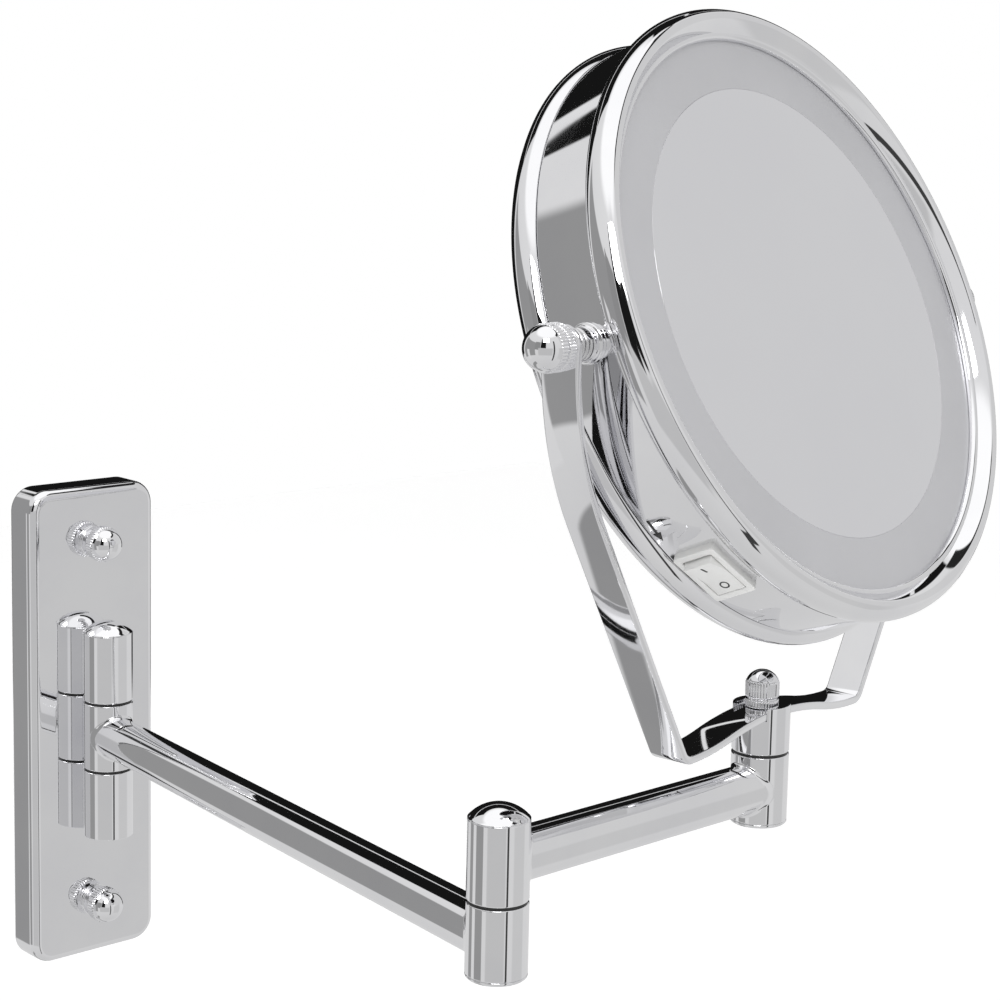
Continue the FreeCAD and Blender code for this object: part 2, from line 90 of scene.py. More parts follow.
class Tree:
    """A node tree with one way to add a node."""

    def __init__(self, tree):
        self.tree = tree

    def node(self, kind, sockets=None, out=0, **settings):
        made = self.tree.nodes.new(kind)
        for name, value in settings.items():
            setattr(made, name, value)
        for name, value in (sockets or {}).items():
            self.feed(made.inputs[name], value)
        return Flow(self, made.outputs[out])

    def feed(self, socket, value):
        if isinstance(value, Flow):
            self.tree.links.new(value.socket, socket)
        else:
            socket.default_value = value

    def split(self, vector):
        apart = self.node("ShaderNodeSeparateXYZ", {0: vector}).socket.node
        return [Flow(self, socket) for socket in apart.outputs]

    def blend(self, factor, first, second):
        """From one colour to another."""
        return self.node("ShaderNodeMix", {0: factor, 6: first, 7: second}, out=2, data_type="RGBA")

    def noise(self, place, scale, detail=3.0, rough=0.5):
        return self.node("ShaderNodeTexNoise", {"Vector": place, "Scale": scale, "Detail": detail,
                                                "Roughness": rough})

    def stretched(self, place, scale, turn=(0.0, 0.0, 0.0)):
        return self.node("ShaderNodeMapping", {"Vector": place, "Rotation": turn, "Scale": scale})

    def bump(self, height, distance, strength=1.0):
        return self.node("ShaderNodeBump", {"Height": height, "Distance": distance, "Strength": strength})


def surface(name, **fixed):
    """A new material with these fixed values on its shader, its tree, its shader's inputs
    and the Object coordinates."""
    material = bpy.data.materials.new(name)
    material.use_nodes = True
    tree = Tree(material.node_tree)
    shader = material.node_tree.nodes["Principled BSDF"].inputs
    for socket, value in fixed.items():
        shader[socket.replace("_", " ")].default_value = value
    return material, tree, shader, tree.node("ShaderNodeTexCoord", out="Object")


def grey(level, cool=1.0):
    return (level, level, min(1.0, level * cool), 1.0)


def polished_chrome(name, bright, smooth, ripple):
    """Bright chrome plate: cloudy wiping marks, fine cloth lines, a few dried water spots
    and the long shallow ripple that buffing leaves."""
    material, tree, shader, place = surface(name, Metallic=1.0)
    cloud = tree.noise(place, 26.0, 4.0, 0.6)
    cloth = tree.noise(tree.stretched(place, (1.0, 9.0, 1.4), (0.4, 0.2, 0.7)), 60.0, 5.0, 0.7)
    spots = tree.node("ShaderNodeTexVoronoi", {"Vector": place, "Scale": 85.0, "Randomness": 1.0})
    spot = 1.0 - spots.ramp(0.05, 0.1)
    tree.feed(shader["Roughness"],
              cloud.ramp(0.45, 0.75) * 0.03 + cloth.ramp(0.5, 0.8) * 0.03 + spot * 0.03 + smooth)
    tree.feed(shader["Base Color"],
              tree.blend(cloud.ramp(0.3, 0.7), grey(bright, 1.012), grey(bright * 0.96, 1.022)))
    tree.feed(shader["Normal"], tree.bump(tree.noise(place, 22.0, 1.0), ripple, 0.35))
    return material


chrome = polished_chrome("chrome_pressed", 0.9, 0.03, 0.00022)
chrome_turned = polished_chrome("chrome_turned", 0.9, 0.025, 0.00006)


def new_mesh(name, vertices, faces):
    mesh = bpy.data.meshes.new(name)
    mesh.from_pydata([tuple(v) for v in vertices], [], faces)
    return mesh


def sewn_up(mesh):
    """Merge the doubles, turn every face outwards and shade it smooth."""
    work = bmesh.new()
    work.from_mesh(mesh)
    bmesh.ops.remove_doubles(work, verts=work.verts, dist=2e-7)
    bmesh.ops.recalc_face_normals(work, faces=work.faces)
    work.to_mesh(mesh)
    work.free()
    mesh.shade_smooth()
    return mesh


def placed(mesh, matrix):
    """Move a mesh, and keep its faces outwards if the matrix mirrors it."""
    mesh.transform(matrix)
    if matrix.determinant() < 0:
        mesh.flip_normals()
    return mesh


def together(name, parts):
    """One mesh from (mesh, matrix) pairs."""
    whole = bmesh.new()
    for mesh, matrix in parts:
        copy = placed(mesh.copy(), matrix)
        whole.from_mesh(copy)
        bpy.data.meshes.remove(copy)
    mesh = bpy.data.meshes.new(name)
    whole.to_mesh(mesh)
    whole.free()
    mesh.shade_smooth()
    return mesh


def lofted(name, rings, first=True, last=True, around=False):
    """Skin over rings of equal length, with a face over the first and the last."""
    count = len(rings[0])
    faces = []
    for level in range(len(rings) - (0 if around else 1)):
        a, b = level * count, (level + 1) % len(rings) * count
        for i in range(count):
            j = (i + 1) % count
            faces.append((a + i, a + j, b + j, b + i))
    if first and not around:
        faces.append(tuple(range(count))[::-1])
    if last and not around:
        faces.append(tuple(range(count * len(rings) - count, count * len(rings))))
    return sewn_up(new_mesh(name, [p for ring in rings for p in ring], faces))


def piece(name, mesh, material, body, slot, *nodes):
    """Put a finished mesh on its body. It stands for the CAD nodes that are named."""
    mesh.materials.clear()
    mesh.materials.append(material)
    made = bpy.data.objects.new(name, mesh)
    bpy.context.scene.collection.objects.link(made)
    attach(made, body)
    if nodes:
        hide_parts(*nodes)
    return made


def rounded_corners(width, height, corner, steps=14):
    """(x, z) round a rectangle with rounded corners."""
    points = []
    for number, (sx, sz) in enumerate(((1, 1), (1, -1), (-1, -1), (-1, 1))):
        for step in range(steps + 1):
            a = math.radians(90.0 - 90.0 * number - 90.0 * step / steps)
            points.append((sx * (width / 2 - corner) + corner * math.cos(a),
                           sz * (height / 2 - corner) + corner * math.sin(a)))
    return points


plate_low, plate_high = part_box("wall_plate")
plate_width = plate_high.x - plate_low.x
plate_height = plate_high.z - plate_low.z
plate_depth = plate_high.y - plate_low.y
plate_corner, plate_edge, plate_wall = 9.0 * mm, 3.6 * mm, 1.6 * mm


def plate_skin(inset, depth, edge):
    """Rings from the rim, up the side and round the edge on to the face."""
    levels = [(inset, 0.0), (inset, 0.4 * mm), (inset, depth - edge - 0.4 * mm)]
    levels += [(inset + edge * (1 - math.cos(a)), depth - edge + edge * math.sin(a))
               for a in (math.radians(90.0 * k / 12) for k in range(13))]
    levels.append((inset + edge + 0.4 * mm, depth))
    return [[Vector((x, -y, z)) for x, z in rounded_corners(plate_width - 2 * i, plate_height - 2 * i,
                                                            plate_corner - min(i, plate_corner * 0.8))]
            for i, y in levels]


outer_skin = plate_skin(0.0, plate_depth, plate_edge)
inner_skin = plate_skin(plate_wall, plate_depth - plate_wall, plate_edge - plate_wall)
plate_shell = lofted("plate_shell", outer_skin[::-1] + inner_skin)
piece("plate_shell", plate_shell, chrome, "wall", "chrome", "wall_plate")

# ------------------------------------------------------------------ cap nuts
# Two turned brass dome nuts with straight knurling, chromed. They run on to the bracket's
# studs and pull the plate to the wall through thin flange washers.
nut_height = 72.0 * mm


def eased(section, radius, loop=False):
    """Round each corner of a (radius, height) section, and hold the flats either side of
    it with a point close by."""
    section = [Vector(point) for point in section]
    if loop:
        corners = list(zip(section[-1:] + section[:-1], section, section[1:] + section[:1]))
        points = []
    else:
        corners = list(zip(section, section[1:], section[2:]))
        points = [section[0]]
    for before, corner, after in corners:
        a, b = before - corner, after - corner
        reach = min(radius, a.length * 0.35, b.length * 0.35)
        a.normalize()
        b.normalize()
        if a.angle(b) > math.radians(165):
            points.append(corner)
            continue
        start, end = corner + a * reach, corner + b * reach
        points.append(corner + a * reach * 1.3)
        points += [(1 - t) ** 2 * start + 2 * t * (1 - t) * corner + t * t * end
                   for t in (0.0, 0.25, 0.5, 0.75, 1.0)]
        points.append(corner + b * reach * 1.3)
    return points if loop else points + [section[-1]]


def turned(name, section, steps=96, corner=0.2, loop=False):
    """A turned part about Z from (radius, height) points in millimetres. An open section
    starts and ends on the axis."""
    profile = eased(section, corner, loop)
    angles = [2 * math.pi * i / steps for i in range(steps)]
    rings = [[Vector((p.x * math.cos(a), p.x * math.sin(a), p.y)) * mm for a in angles] for p in profile]
    return lofted(name, rings, False, False, loop)


def cap_points(radius, bottom, height, steps=14):
    """Points up a spherical cap to its crown."""
    rho = (radius ** 2 + height ** 2) / (2 * height)
    end = math.acos((rho - height) / rho)
    return [(rho * math.sin(end * (1 - k / steps)),
             bottom + height - rho + rho * math.cos(end * (1 - k / steps))) for k in range(steps + 1)]


def nodes_group(name, inputs):
    """An empty Geometry Nodes tree with named inputs, and its inputs by name."""
    group = bpy.data.node_groups.new(name, "GeometryNodeTree")
    group.interface.new_socket("Geometry", in_out="OUTPUT", socket_type="NodeSocketGeometry")
    for label, kind in inputs.items():
        group.interface.new_socket(label, in_out="INPUT", socket_type="NodeSocket" + kind)
    tree = Tree(group)
    source = group.nodes.new("NodeGroupInput")
    return tree, {label: Flow(tree, source.outputs[label]) for label in inputs}


def ends_in(tree, geometry, material):
    whole = tree.node("GeometryNodeRealizeInstances", {"Geometry": geometry})
    dressed = tree.node("GeometryNodeSetMaterial", {"Geometry": whole, "Material": material})
    tree.feed(tree.tree.nodes.new("NodeGroupOutput").inputs["Geometry"], dressed)


def plain_mesh(holder):
    """The mesh that an object's modifiers make."""
    bpy.context.view_layer.update()
    return bpy.data.meshes.new_from_object(holder.evaluated_get(bpy.context.evaluated_depsgraph_get()))


def grown(name, tree, **values):
    """The plain mesh that a Geometry Nodes tree makes from these inputs."""
    holder = bpy.data.objects.new(name, bpy.data.meshes.new(name))
    bpy.context.scene.collection.objects.link(holder)
    modifier = holder.modifiers.new("shape", "NODES")
    modifier.node_group = tree.tree
    for item in tree.tree.interface.items_tree:
        if item.in_out == "INPUT":
            modifier[item.identifier] = values[item.name]
    mesh = plain_mesh(holder)
    holder.modifiers.clear()
    bpy.data.objects.remove(holder)
    return sewn_up(mesh)


# Straight knurling: a bar whose wall rises and falls once for each tooth and dies away
# in a chamfer at both ends.
knurl, cut = nodes_group("straight_knurl", {"Radius": "Float", "Length": "Float", "Teeth": "Int",
                                            "Depth": "Float", "Material": "Material"})
blank = knurl.node("GeometryNodeMeshCylinder", {"Vertices": cut["Teeth"] * 6, "Side Segments": 14,
                                                "Radius": 1.0, "Depth": cut["Length"]})
across, along, up = knurl.split(knurl.node("GeometryNodeInputPosition"))
turn = along.maths("ARCTAN2", along, across)
ridge = (turn * cut["Teeth"]).maths("COSINE", turn * cut["Teeth"]) * 0.5 + 0.5
lead = 1.0 - (up.maths("ABSOLUTE", up) / (cut["Length"] * 0.5)).ramp(0.78, 1.0)
wall = cut["Radius"] - cut["Depth"] * (2.0 - lead - ridge * lead)
spot = knurl.node("ShaderNodeCombineXYZ", {0: across * wall, 1: along * wall, 2: up})
knurled = knurl.node("GeometryNodeSetPosition", {"Geometry": blank, "Position": spot})
ends_in(knurl, knurled, cut["Material"])


def knurled_band(radius, low, high, teeth, depth=0.35):
    band = grown("knurled_band", knurl, Radius=radius * mm, Length=(high - low) * mm, Teeth=teeth,
                 Depth=depth * mm, Material=chrome_turned)
    return placed(band, Matrix.Translation((0, 0, (low + high) / 2 * mm)))


cap_nut = together("cap_nut", [(mesh, Matrix()) for mesh in (
    turned("nut_neck", [(0, 1.25), (4.3, 1.25), (4.3, 3.3), (5.9, 4.25), (0, 4.25)]),
    knurled_band(6.9, 4.2, 9.0, 40),
    turned("nut_dome", [(0, 8.9), (6.35, 8.9)] + cap_points(6.3, 9.25, 5.6)))])
flange = turned("flange", [(0, 0.02), (6.4, 0.02), (6.4, 1.2), (0, 1.2)], corner=0.4)
out_of_wall = Matrix.Rotation(math.radians(90), 4, "X")
at_studs = [Matrix.Translation((0, -plate_depth, z)) @ out_of_wall for z in (-nut_height, nut_height)]
piece("cap_nut_pair", together("cap_nut_pair", [(cap_nut, m) for m in at_studs]), chrome_turned,
      "wall", "chrome", "cap_nuts")
piece("flange_pair", together("flange_pair", [(flange, m) for m in at_studs]), chrome_turned,
      "wall", "chrome", "flange_washers")

# ------------------------------------------------------------------ wall barrel
# Three chromed knuckles on one steel pin. The outer two stand on feet that are screwed to
# the plate from inside, the middle one turns between black nylon washers, and a domed
# cap closes the top.
barrel = 9.5
washer = 0.9
wall_pitch = 26.8
wall_point = Vector(joints["wall_swing"]["pos_m"])
arm_1_z = wall_point.z / mm


def black_nylon():
    material, tree, shader, place = surface("black_nylon")
    grain = tree.noise(place, 1400.0, 3.0, 0.6)
    tree.feed(shader["Base Color"], tree.blend(grain, grey(0.01), grey(0.03)))
    tree.feed(shader["Roughness"], grain * 0.2 + 0.34)
    tree.feed(shader["Normal"], tree.bump(grain, 0.00002, 0.5))
    return material


nylon = black_nylon()


def upright(point):
    """Where a part that is drawn about Z at its own heights stands."""
    return Matrix.Translation((point.x, point.y, 0))


def knuckle(name, low, high):
    return turned(name, [(0, low), (barrel, low), (barrel, high), (0, high)], corner=0.35)


def domed_cap(name, bottom):
    return turned(name, [(0, bottom), (barrel, bottom), (barrel, bottom + 0.25)]
                  + cap_points(barrel - 0.15, bottom + 0.35, 4.2, 20), corner=0.12)


def slip_washer(name, middle):
    return turned(name, [(0, middle - washer / 2), (9.0, middle - washer / 2),
                         (9.0, middle + washer / 2), (0, middle + washer / 2)], corner=0.12)


half = wall_pitch / 2
foot_ring = rounded_corners(9.0 * mm, wall_pitch * mm - washer * mm / 2, 0.5 * mm, 4)
for name, body, node, low, high in (
        ("lower_knuckle", "wall", "knuckle_lower", arm_1_z - 3 * half, arm_1_z - half - washer / 2),
        ("upper_knuckle", "wall", "knuckle_upper", arm_1_z + half + washer / 2, arm_1_z + 3 * half),
        ("middle_knuckle", "arm_1", "knuckle_middle", arm_1_z - half + washer / 2 + 0.05,
         arm_1_z + half - washer / 2 - 0.05)):
    parts = [(knuckle(name, low, high), upright(wall_point))]
    if body == "wall":
        foot = lofted("foot", [[Vector((x, y, z + (low + high) / 2 * mm)) for x, z in foot_ring]
                               for y in (wall_point.y + 6 * mm, -plate_depth)])
        parts.append((foot, Matrix()))
    piece(name, together(name, parts), chrome, body, "chrome", node)
piece("barrel_dome", placed(domed_cap("barrel_dome", arm_1_z + 3 * half), upright(wall_point)),
      chrome_turned, "wall", "chrome", "barrel_cap")
piece("barrel_washer_pair", together("barrel_washer_pair", [
    (slip_washer("slip_washer", arm_1_z + side * half), upright(wall_point)) for side in (-1, 1)]),
      nylon, "wall", "black_plastic", "barrel_washers")

# ------------------------------------------------------------------ first arm
# A straight chromed tube, coped to the middle knuckle and to the lower half of the elbow,
# and brazed to both with a small smooth fillet.
tube = 8.1
fillet = 1.1
elbow_point = Vector(joints["elbow_swing"]["pos_m"])


def arm(name, start, end, z):
    """Tube from barrel to barrel at one height, its ends flared into the barrels' walls."""
    run = Vector((end.x - start.x, end.y - start.y, 0))
    length = run.length / mm
    run.normalize()
    side = Vector((-run.y, run.x, 0))
    steps = 112
    stations = [(-0.5, fillet)] + [(fillet * (1 - math.cos(a)), fillet * (1 - math.sin(a)))
                                   for a in (math.radians(90 * k / 8) for k in range(9))]
    stations += [(fillet + 0.4, 0.0), (length / 4, 0.0)]
    rings = []
    for far in (False, True):
        flare = []
        for out, grow in stations:
            ring = []
            for i in range(steps):
                t = 2 * math.pi * i / steps
                x, up = (tube + grow) * math.cos(t), (tube + grow) * math.sin(t)
                deep = math.sqrt(barrel ** 2 - x * x) if out < length / 5 else barrel
                away = length - deep - out if far else deep + out
                ring.append(start + (run * away + side * x) * mm)
                ring[-1].z = (z + up) * mm
            flare.append(ring)
        rings += flare[::-1] if far else flare
    return lofted(name, rings)


first_tube = arm("first_arm", wall_point, elbow_point, arm_1_z)
piece("first_arm", first_tube, chrome, "arm_1", "chrome", "arm_tube_1")

# ------------------------------------------------------------------ elbow
# Two knuckles one above the other on a pressed pin, with a nylon washer between them, a
# chamfered plug below and a domed cap above.
elbow_pitch = 23.8
arm_2_z = arm_1_z + elbow_pitch
elbow_low = arm_1_z - elbow_pitch / 2
elbow_split = arm_1_z + elbow_pitch / 2
elbow_high = arm_2_z + elbow_pitch / 2 + 1.2


def end_plug(name, bottom):
    return turned(name, [(0, bottom), (barrel - 0.6, bottom), (barrel, bottom + 0.6), (barrel, bottom + 1.2),
                         (0, bottom + 1.2)], corner=0.25)


for name, mesh, coat, body, slot, node in (
        ("elbow_lower_half", knuckle("elbow_lower_half", elbow_low + 1.2, elbow_split - washer / 2),
         chrome, "arm_1", "chrome", "elbow_lower"),
        ("elbow_base", end_plug("elbow_base", elbow_low), chrome_turned, "arm_1", "chrome", "elbow_plug"),
        ("elbow_slip_washer", slip_washer("elbow_slip_washer", elbow_split - 0.02),
         nylon, "arm_1", "black_plastic", "elbow_washer"),
        ("elbow_upper_half", knuckle("elbow_upper_half", elbow_split + washer / 2, elbow_high),
         chrome, "arm_2", "chrome", "elbow_upper"),
        ("elbow_dome", domed_cap("elbow_dome", elbow_high), chrome_turned, "arm_2", "chrome", "elbow_cap")):
    piece(name, placed(mesh, upright(elbow_point)), coat, body, slot, node)

# ------------------------------------------------------------------ second arm
# A shorter tube of the same stock. Its outer knuckle holds the stud that the yoke turns on.
end_pitch = 24.2
end_point = Vector(joints["yoke_swivel"]["pos_m"])
end_low = arm_2_z - end_pitch / 2
end_split = arm_2_z + end_pitch / 2
second_tube = arm("second_arm", elbow_point, end_point, arm_2_z)
piece("second_arm", second_tube, chrome, "arm_2", "chrome", "arm_tube_2")
for name, mesh, coat, slot, node in (
        ("end_lower_knuckle", knuckle("end_lower_knuckle", end_low + 1.2, end_split - washer / 2),
         chrome, "chrome", "end_lower"),
        ("end_base", end_plug("end_base", end_low), chrome_turned, "chrome", "end_plug"),
        ("end_slip_washer", slip_washer("end_slip_washer", end_split - 0.02),
         nylon, "black_plastic", "end_washer")):
    piece(name, placed(mesh, upright(end_point)), coat, "arm_2", slot, node)

# ------------------------------------------------------------------ yoke
# Flat chromed strip bent to a U: a shallow saddle over the swivel, a tight corner each
# side, straight legs and a long shoulder up to each rounded eye.
strap_width, strap_thick, strap_edge = 13.0, 2.6, 0.55
strap_rise, eye_reach = 49.4, 112.3
hump, dip, hump_angle = 130.0, 100.0, math.radians(12.3)
tight, lean, shoulder = 5.0, math.radians(30.4), 100.0
tilt_joint = joints["head_tilt"]
tilt_point = Vector(tilt_joint["pos_m"])
across_yoke = Vector(tilt_joint["axis"])
pivot_rise = tilt_point.z / mm - arm_1_z
upward = Vector((0, 0, 1))
yoke_place = Matrix((across_yoke, upward.cross(across_yoke), upward)).transposed().to_4x4()
yoke_place.translation = Vector((end_point.x, end_point.y, arm_1_z * mm))


def strap_line():
    """(x, z, heading) down the middle of half the strap, from the swivel to the pivot."""
    corner_x = (hump + dip) * math.sin(hump_angle) + tight * math.cos(lean)
    leg = (eye_reach - shoulder * (1 - math.cos(lean)) - corner_x) / math.sin(lean)
    x, z, heading = 0.0, strap_rise, 0.0
    line = [(x, z, heading)]
    for radius, turn, steps in ((hump, -hump_angle, 18), (dip, hump_angle, 18),
                                (tight, math.pi / 2 - lean, 14), (None, leg, 6), (shoulder, lean, 30)):
        for _ in range(steps):
            if radius is None:
                x += turn / steps * math.cos(heading)
                z += turn / steps * math.sin(heading)
            else:
                bend = turn / steps
                chord = 2 * radius * math.sin(abs(bend) / 2)
                x += chord * math.cos(heading + bend / 2)
                z += chord * math.sin(heading + bend / 2)
                heading += bend
            line.append((x, z, heading))
    return line


def strap_ring(x, z, heading, width):
    """The strip's rounded section, square to its middle line."""
    edge = min(strap_edge, width * 0.4)
    return [Vector((x - t * math.sin(heading), y, z + t * math.cos(heading))) * mm
            for t, y in rounded_corners(strap_thick, width, edge, 4)]


def half_strap():
    line = strap_line()
    rings = [strap_ring(x, z, heading, strap_width) for x, z, heading in line]
    reach = strap_width / 2
    last = line[-1][1]
    rings += [strap_ring(eye_reach, last + (pivot_rise - last) * k / 3, math.pi / 2, strap_width)
              for k in (1, 2, 3)]
    rings += [strap_ring(eye_reach, pivot_rise + reach * math.sin(a), math.pi / 2, strap_width * math.cos(a))
              for a in (math.radians(87.0 * k / 20) for k in range(1, 21))]
    return rings


def carved(mesh, *tools):
    """The mesh with these closed shapes cut away, its new edges left crisp."""
    block = bpy.data.objects.new("block", mesh)
    bpy.context.scene.collection.objects.link(block)
    cutters = []
    for tool in tools:
        cutter = bpy.data.objects.new("cutter", tool)
        bpy.context.scene.collection.objects.link(cutter)
        cutters.append(cutter)
        cut_away = block.modifiers.new("cut", "BOOLEAN")
        cut_away.operation, cut_away.solver, cut_away.object = "DIFFERENCE", "EXACT", cutter
    result = plain_mesh(block)
    for spent in [block] + cutters:
        bpy.data.objects.remove(spent)
    result.shade_smooth()
    result.set_sharp_from_angle(angle=math.radians(35))
    return result


def rod(radius, low, high, steps=48):
    return turned("rod", [(0, low), (radius, low), (radius, high), (0, high)], steps, 0.01)


to_right = Matrix.Rotation(math.radians(90), 4, "Y")
right_rings = half_strap()
left_rings = [[Vector((-p.x, p.y, p.z)) for p in ring] for ring in right_rings[:0:-1]]
eye_tool = placed(rod(3.2, -150.0, 150.0), Matrix.Translation((0, 0, pivot_rise * mm)) @ to_right)
strap = carved(lofted("strap", left_rings + right_rings), eye_tool, rod(3.15, 40.0, 60.0))
piece("yoke_strip", placed(strap, yoke_place), chrome, "yoke", "chrome", "yoke_strap")

seat_low = elbow_pitch + end_pitch / 2 + washer / 2
saddle_rings = []
for x in [-14.0 + 28.0 * k / 24 for k in range(25)]:
    floor_z = strap_rise - strap_thick / 2 - (hump - math.sqrt(hump ** 2 - x * x))
    saddle_rings.append([Vector((x, y, z)) * mm for y, z in ((-6.55, floor_z), (6.55, floor_z),
                                                            (6.55, 60.0), (-6.55, 60.0))])
saddle = carved(knuckle("saddle", seat_low, 52.0), lofted("slot", saddle_rings))
piece("saddle_knuckle", placed(saddle, yoke_place), chrome_turned, "yoke", "chrome", "end_upper")

# ------------------------------------------------------------------ swivel nut
# Small knurled thumb nut on the swivel stud. A short knurled collar sits on the strap,
# and a tall grip with a low dome stands over it.
nut_foot = strap_rise + strap_thick / 2 + 0.1
swivel_nut = together("swivel_nut", [(mesh, Matrix()) for mesh in (
    knurled_band(5.5, nut_foot, nut_foot + 2.6, 36, 0.25),
    turned("waist", [(0, nut_foot + 2.4), (4.9, nut_foot + 2.4), (4.9, nut_foot + 3.2), (0, nut_foot + 3.2)]),
    knurled_band(5.6, nut_foot + 3.0, nut_foot + 9.0, 36, 0.3),
    turned("crown", [(0, nut_foot + 8.8), (5.2, nut_foot + 8.8)] + cap_points(5.15, nut_foot + 9.1, 3.2)))])
piece("swivel_thumb_nut", placed(swivel_nut, yoke_place), chrome_turned, "swivel_nut", "chrome", "base_nut")

# ------------------------------------------------------------------ head drum
# A short drum spun from sheet and chromed, with a punched opening for the switch. It is
# drawn about the axis that leaves the lit face, and then tilted into the yoke.
out_of_face = Vector(joints["rear_twist"]["axis"])
head_place = Matrix((across_yoke, out_of_face.cross(across_yoke), out_of_face)).transposed().to_4x4()
head_place.translation = tilt_point
drum_radius, drum_wall, drum_front, drum_back = 99.5, 1.5, 8.0, -12.4
switch_clock, switch_z = math.radians(136.5), -3.0


def about_switch(clock=switch_clock, height=switch_z):
    """Place of a part drawn with X round the drum, Y out of it and Z along its axis."""
    return Matrix.Rotation(clock, 4, "Z") @ Matrix.Translation((0, 0, height * mm))


def slab(name, width, length, corner, low, high, steps=4):
    """A block with rounded corners between two heights in Y. All sizes are millimetres."""
    outline = rounded_corners(width * mm, length * mm, corner * mm, steps)
    return lofted(name, [[Vector((x, y * mm, z)) for x, z in outline] for y in (low, high)])


punched = slab("punched", 19.0, 12.0, 0.8, 60, 120)
drum = turned("drum", [(drum_radius, drum_back), (drum_radius, drum_front),
                       (drum_radius - drum_wall, drum_front), (drum_radius - drum_wall, drum_back)],
              288, 0.4, True)
drum = carved(drum, placed(punched, about_switch()))
piece("head_drum", placed(drum, head_place), chrome, "head", "chrome", "drum")

# ------------------------------------------------------------------ front rim
# A rolled ring that snaps over the drum and holds the glass. It bulges past the drum,
# turns over a rounded crest and slopes in to a small bead against the glass.


def arc_points(start, middle, end, steps):
    """Points after start along the arc through three (radius, height) points."""
    (ax, ay), (bx, by), (cx, cy) = start, middle, end
    d = 2 * (ax * (by - cy) + bx * (cy - ay) + cx * (ay - by))
    a2, b2, c2 = ax * ax + ay * ay, bx * bx + by * by, cx * cx + cy * cy
    x = (a2 * (by - cy) + b2 * (cy - ay) + c2 * (ay - by)) / d
    y = (a2 * (cx - bx) + b2 * (ax - cx) + c2 * (bx - ax)) / d
    radius = math.hypot(ax - x, ay - y)
    first, mid, last = (math.atan2(py - y, px - x) for px, py in (start, middle, end))
    turn = (last - first) % (2 * math.pi)
    if (mid - first) % (2 * math.pi) > turn:
        turn -= 2 * math.pi
    angles = [first + turn * k / steps for k in range(1, steps + 1)]
    return [(x + radius * math.cos(a), y + radius * math.sin(a)) for a in angles]


rim_section = [(99.5, 8.0), (100.4, 8.0)]
rim_section += arc_points((100.4, 8.0), (101.75, 13.0), (100.1, 16.8), 18)
rim_section += arc_points((100.1, 16.8), (98.4, 18.1), (96.2, 17.5), 14)
rim_section += arc_points((96.2, 17.5), (94.2, 15.55), (93.2, 14.3), 8)
rim_section += arc_points((93.2, 14.3), (92.0, 13.95), (91.4, 13.0), 8)
rim_section += [(91.4, 12.05), (92.8, 12.05), (92.8, 9.0), (96.4, 9.0), (96.4, 4.0), (98.0, 4.0)]
rim_section += [(98.0, 8.0)]
piece("face_rim", placed(turned("face_rim", rim_section, 288, 0.3, True), head_place),
      chrome, "head", "chrome", "front_rim")

# ------------------------------------------------------------------ plain mirror
# Silvered float glass, with a fine ground edge, in the middle of the lit face.
plain_radius, glass_radius, glass_front, glass_back = 75.05, 92.8, 12.0, 9.0


def silvered(name, bright):
    """Silvered glass: clean, with the faintest haze of dust and a cloth mark or two."""
    material, tree, shader, place = surface(name, Metallic=1.0)
    haze = tree.noise(place, 14.0, 4.0, 0.6)
    dust = tree.node("ShaderNodeTexVoronoi", {"Vector": place, "Scale": 420.0, "Randomness": 1.0})
    speck = 1.0 - dust.ramp(0.03, 0.06)
    wipe = tree.noise(tree.stretched(place, (1.0, 1.0, 7.0), (0.3, 0.0, 0.5)), 30.0, 4.0, 0.6)
    tree.feed(shader["Roughness"],
              haze.ramp(0.4, 0.8) * 0.02 + wipe.ramp(0.55, 0.8) * 0.02 + speck * 0.15 + 0.01)
    tree.feed(shader["Base Color"],
              tree.blend(haze.ramp(0.3, 0.7), grey(bright, 1.025), grey(bright * 0.985, 1.03)))
    return material


silver = silvered("silvered_glass", 0.88)
plain = turned("plain_glass", [(0, glass_back), (plain_radius - 0.02, glass_back),
                               (plain_radius - 0.02, glass_front - 0.05), (plain_radius - 0.4, glass_front),
                               (0, glass_front)], 192, 0.1)
piece("plain_glass", placed(plain, head_place), silver, "head", "mirror_glass", "plain_mirror")

# ------------------------------------------------------------------ frosted ring
# The lit border: the same glass, sandblasted from behind so that the lamps behind it
# show as an even glow.


def sandblasted():
    material, tree, shader, place = surface("sandblasted_glass", Metallic=0.75, Coat_Weight=0.25,
                                            Coat_Roughness=0.04)
    grain = tree.noise(place, 2600.0, 2.0, 0.7)
    cloud = tree.noise(place, 18.0, 3.0, 0.5)
    tree.feed(shader["Base Color"], tree.blend(cloud.ramp(0.3, 0.7) * 0.7 + grain * 0.3,
                                               grey(0.66, 1.03), grey(0.72, 1.03)))
    tree.feed(shader["Roughness"], grain * 0.12 + cloud * 0.05 + 0.42)
    tree.feed(shader["Normal"], tree.bump(grain, 0.00001, 0.6))
    return material


frosted = turned("frosted_border", [(plain_radius, glass_back), (glass_radius - 0.03, glass_back),
                                    (glass_radius - 0.03, glass_front), (plain_radius + 0.35, glass_front),
                                    (plain_radius, glass_front - 0.05)], 288, 0.08, True)
piece("frosted_border", placed(frosted, head_place), sandblasted(), "head", "frosted_glass", "light_ring")

